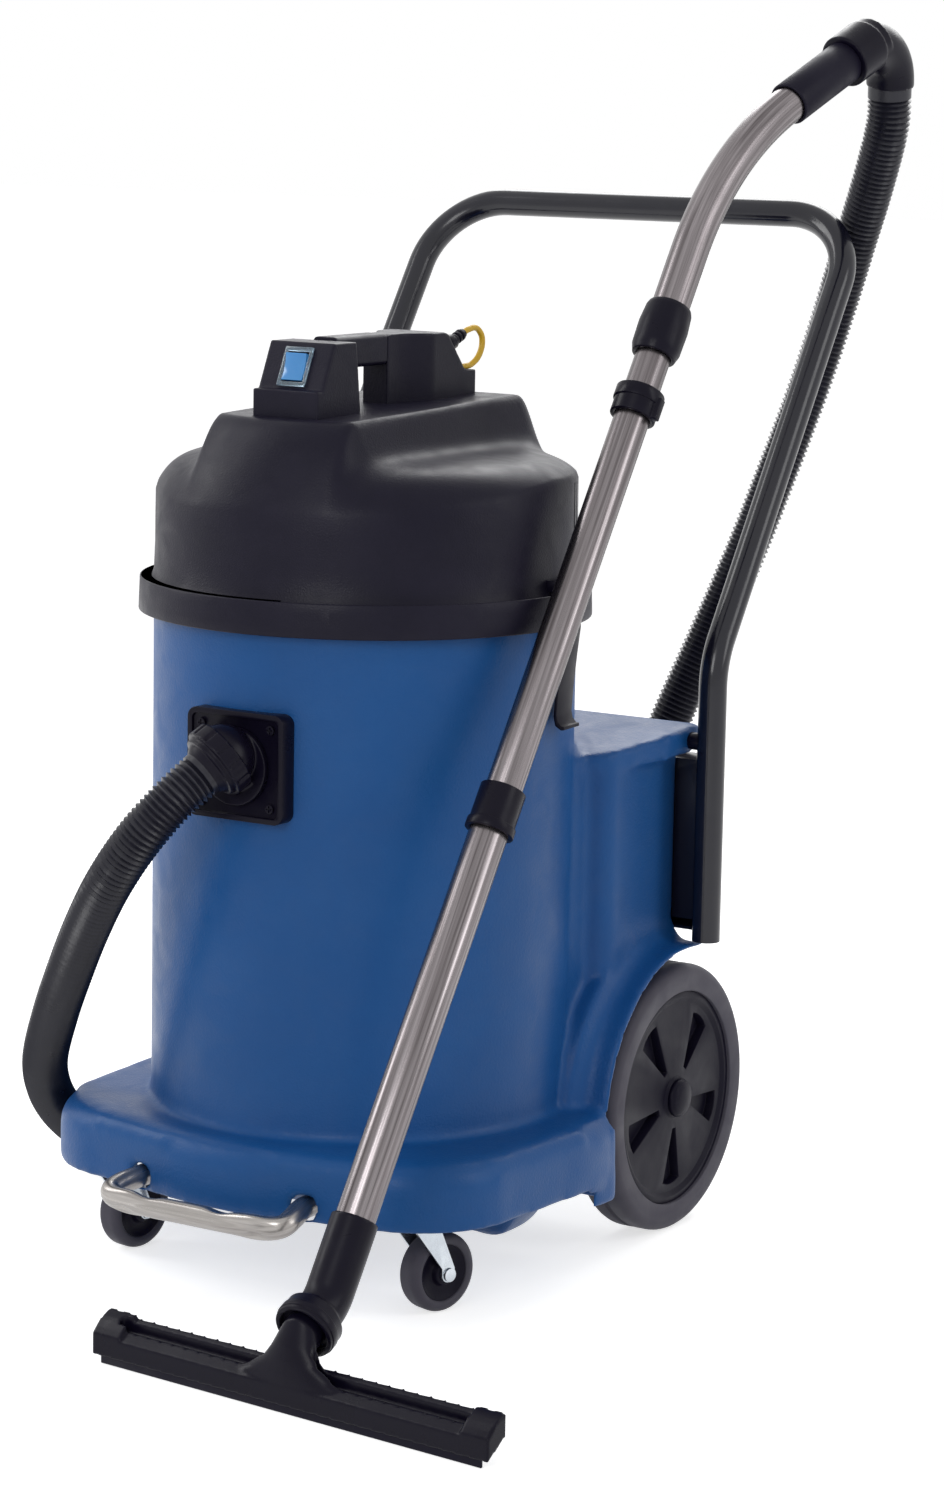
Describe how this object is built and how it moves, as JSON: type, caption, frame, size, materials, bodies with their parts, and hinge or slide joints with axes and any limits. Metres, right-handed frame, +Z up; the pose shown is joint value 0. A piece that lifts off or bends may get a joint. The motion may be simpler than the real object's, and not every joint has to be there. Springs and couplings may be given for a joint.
{
  "type": "wheeled drum vacuum cleaner",
  "caption": "Wet and dry drum vacuum cleaner on two big wheels and casters, with a tilting push handle, bent steel wand, ribbed hose and wide floor tool.",
  "frame": {"origin": "on the floor under the middle of the box around the machine without its hose", "axes": "+Z up, -Y to the front where the hose inlet and floor tool are, +Y to the push handle, +X to the side where the wand stands"},
  "size_m": [0.7923, 0.9959, 1.1167],
  "materials": {
    "tank_blue": "moulded tank, fine grained sheen",
    "black_plastic": "moulded, satin",
    "head_plastic": "moulded, satin",
    "black_enamel": "gloss black enamel",
    "zinc": "bright zinc plate",
    "stainless": "drawn stainless tube",
    "black_rubber": "soft matt",
    "hose_plastic": "ribbed, satin",
    "motor_steel": "pressed steel motor case",
    "white_plastic": "moulded",
    "clear_boot": "smoky flexible boot",
    "switch_blue": "polished rocker",
    "lead_yellow": "flexible sheath",
    "wheel_plastic": "moulded, grained",
    "tyre_grey": "solid rubber, matt"
  },
  "bodies": {
    "machine": {"tank": "tank_blue", "inlet_plate": "black_plastic", "inlet_screws": "black_plastic", "inlet_collar": "black_plastic", "handle_frame": "black_enamel", "handle_bolts": "zinc", "handle_spacers": "black_plastic", "rear_panel": "black_enamel", "rear_axle": "zinc", "foot_bar": "zinc", "caster_plates": "zinc", "caster_bolts": "zinc", "lower_tube": "stainless", "middle_tube": "stainless", "bent_tube": "stainless", "lower_collar": "black_plastic", "tube_clip": "black_plastic", "upper_collar": "black_plastic", "grip_sleeve": "black_rubber", "wand_cuff": "black_plastic", "tool_cuff": "black_plastic", "hose": "hose_plastic"},
    "floor_tool": {"swivel_ring": "black_plastic", "tool_body": "black_plastic", "front_blade": "black_rubber", "rear_blade": "black_rubber"},
    "head": {"motor_cover": "head_plastic", "lid_band": "head_plastic", "lid_seal": "black_rubber", "motor_plate": "head_plastic", "motor_front": "motor_steel", "motor_rear": "motor_steel", "float_cage": "black_plastic", "switch_housing": "head_plastic", "grip_bar": "head_plastic", "rear_block": "head_plastic", "switch_boot": "clear_boot", "cable_gland": "black_plastic", "power_lead": "lead_yellow", "latch_mounts": "black_plastic"},
    "float": {"float_ball": "white_plastic"},
    "rocker": {"rocker_switch": "switch_blue"},
    "latch_left": {"latch_left": "black_plastic"},
    "latch_right": {"latch_right": "black_plastic"},
    "wheel_left": {"wheel_disc_left": "wheel_plastic", "tyre_left": "tyre_grey", "hub_cap_left": "wheel_plastic"},
    "wheel_right": {"wheel_disc_right": "wheel_plastic", "tyre_right": "tyre_grey", "hub_cap_right": "wheel_plastic"},
    "caster_left": {"caster_fork_left": "zinc"},
    "caster_wheel_left": {"caster_wheel_left": "wheel_plastic", "caster_tyre_left": "tyre_grey"},
    "caster_right": {"caster_fork_right": "zinc"},
    "caster_wheel_right": {"caster_wheel_right": "wheel_plastic", "caster_tyre_right": "tyre_grey"}
  },
  "joints": [
    {"name": "wheel_left_spin", "type": "hinge", "parent": "machine", "child": "wheel_left", "pos_m": [-0.2864, 0.1829, 0.125], "axis": [1, 0, 0], "continuous": true},
    {"name": "wheel_right_spin", "type": "hinge", "parent": "machine", "child": "wheel_right", "pos_m": [0.1076, 0.1829, 0.125], "axis": [1, 0, 0], "continuous": true},
    {"name": "caster_left_swivel", "type": "hinge", "parent": "machine", "child": "caster_left", "pos_m": [-0.2514, -0.1851, 0.095], "axis": [0, 0, 1], "continuous": true},
    {"name": "caster_right_swivel", "type": "hinge", "parent": "machine", "child": "caster_right", "pos_m": [0.0726, -0.1851, 0.095], "axis": [0, 0, 1], "continuous": true},
    {"name": "caster_left_spin", "type": "hinge", "parent": "caster_left", "child": "caster_wheel_left", "pos_m": [-0.24619, -0.15556, 0.035], "axis": [-0.9848, 0.1736, 0], "continuous": true},
    {"name": "caster_right_spin", "type": "hinge", "parent": "caster_right", "child": "caster_wheel_right", "pos_m": [0.08137, -0.15641, 0.035], "axis": [-0.9563, 0.2924, 0], "continuous": true},
    {"name": "head_lift", "type": "slide", "parent": "machine", "child": "head", "axis": [0, 0, 1], "range_m": [0, 0.15]},
    {"name": "latch_left_swing", "type": "hinge", "parent": "head", "child": "latch_left", "pos_m": [-0.28465, -0.00802, 0.6215], "axis": [0.0872, 0.9962, 0], "range_deg": [0, 60]},
    {"name": "latch_right_swing", "type": "hinge", "parent": "head", "child": "latch_right", "pos_m": [0.10585, -0.00802, 0.6215], "axis": [0.0872, -0.9962, 0], "range_deg": [0, 60]},
    {"name": "rocker_tilt", "type": "hinge", "parent": "head", "child": "rocker", "pos_m": [-0.0894, -0.13586, 0.80577], "axis": [1, 0, 0], "range_deg": [-14, 0]},
    {"name": "float_rise", "type": "slide", "parent": "head", "child": "float", "axis": [0, 0, 1], "range_m": [0, 0.052]},
    {"name": "tool_swivel", "type": "hinge", "parent": "machine", "child": "floor_tool", "pos_m": [0.13396, -0.42864, 0.06681], "axis": [0.0052, 0.9029, 0.4299], "range_deg": [-60, 60]}
  ]
}
